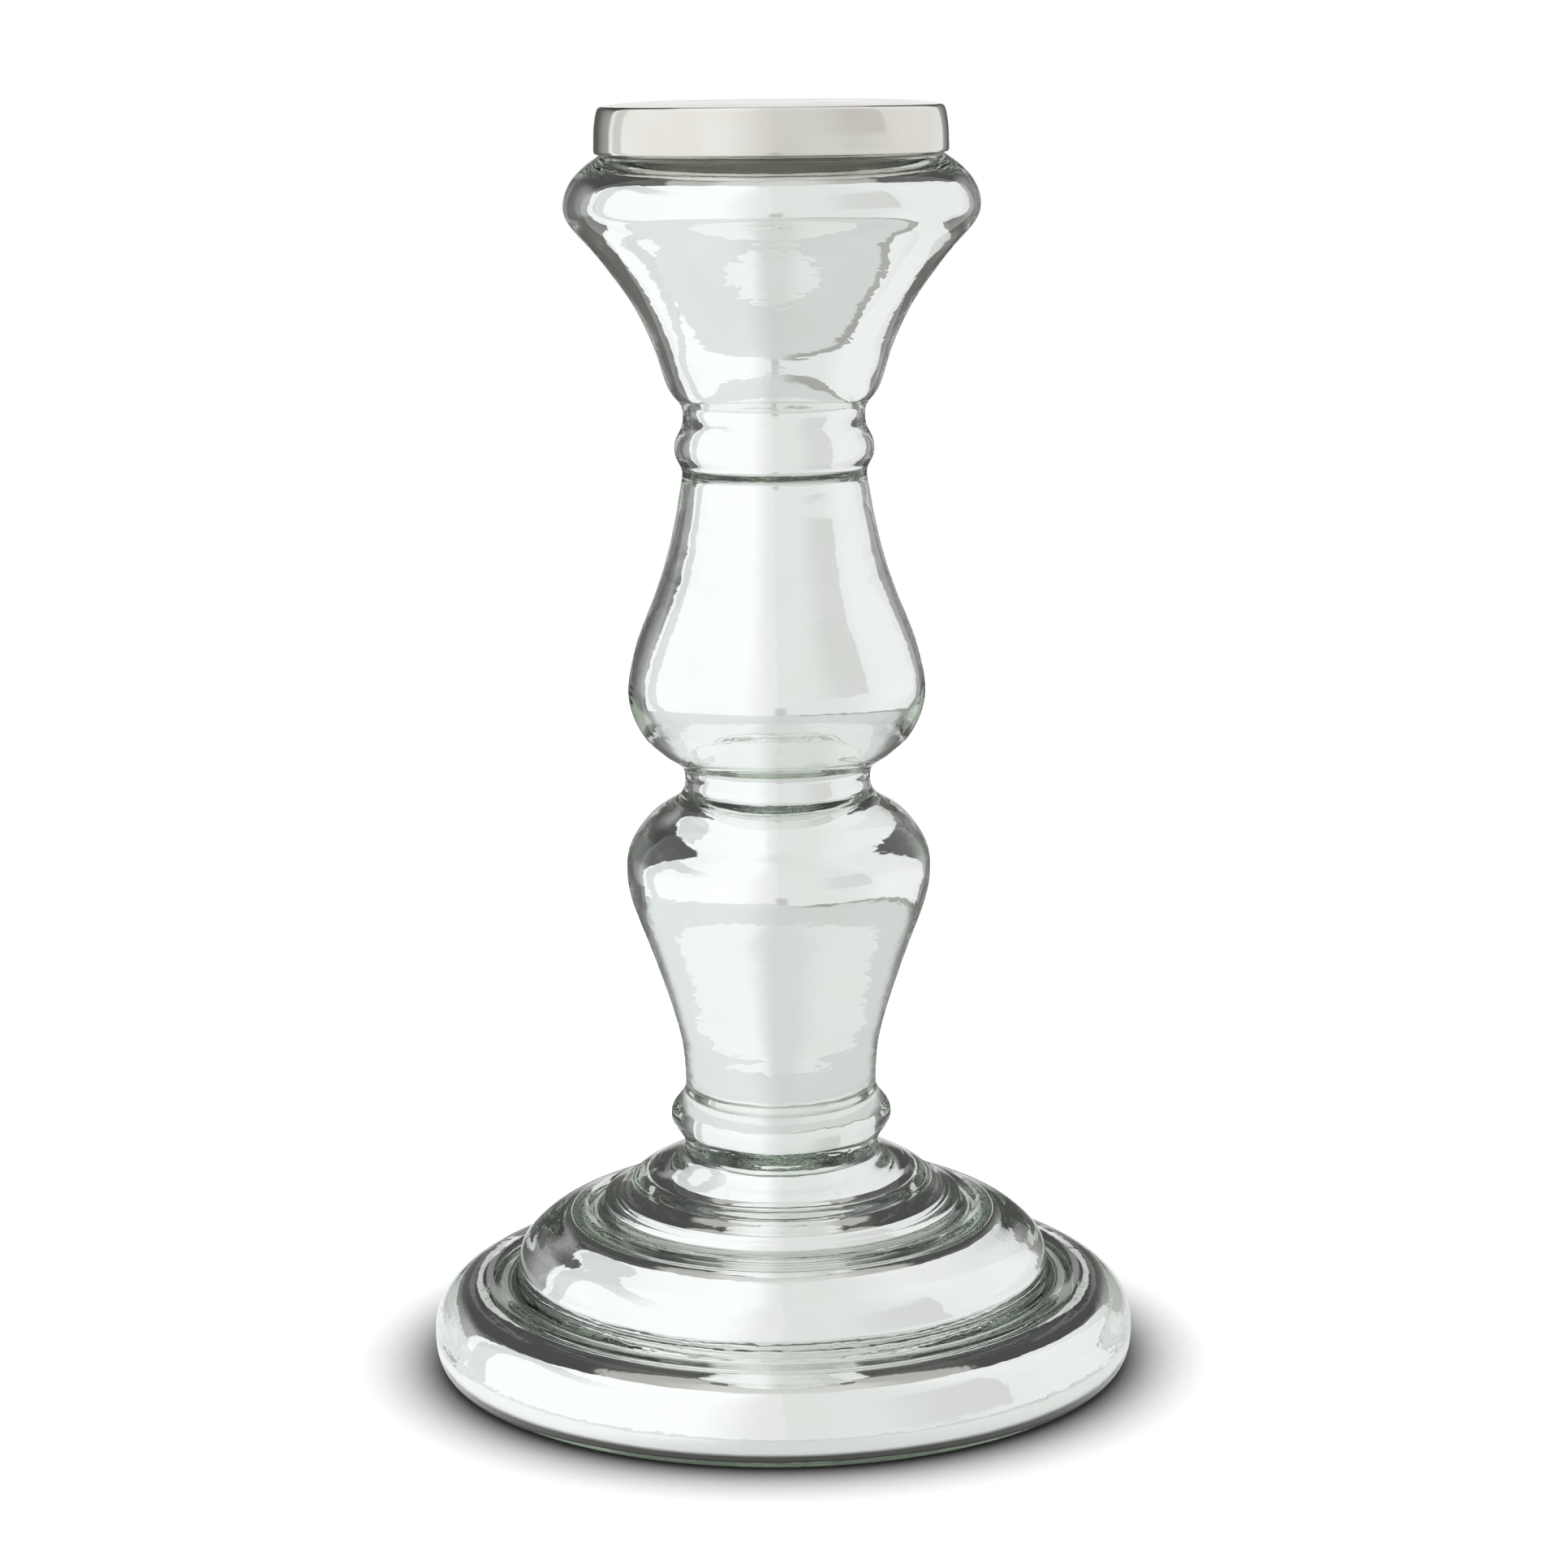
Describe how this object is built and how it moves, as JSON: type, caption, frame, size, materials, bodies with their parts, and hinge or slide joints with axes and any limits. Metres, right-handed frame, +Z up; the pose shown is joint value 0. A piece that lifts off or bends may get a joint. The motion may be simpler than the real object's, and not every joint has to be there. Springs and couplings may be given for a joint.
{
  "type": "pillar candlestick",
  "caption": "Tall baluster pillar-candle stick of hollow silvered glass on a stepped round foot, with a polished nickel cap that carries the candle.",
  "frame": {"origin": "centre of the foot, on the plane of the table", "axes": "+Z up along the stick's axis of revolution; the stick is the same all round, so +X and +Y are any two level directions"},
  "size_m": [0.1722, 0.1722, 0.3063],
  "materials": {
    "clear_glass": "polished",
    "silvering": "mirror",
    "cement": "satin",
    "nickel": "polished"
  },
  "bodies": {
    "root": {"glass_body": "clear_glass", "silver_lining": "silvering", "cement_ring": "cement", "candle_cap": "nickel"}
  },
  "joints": []
}
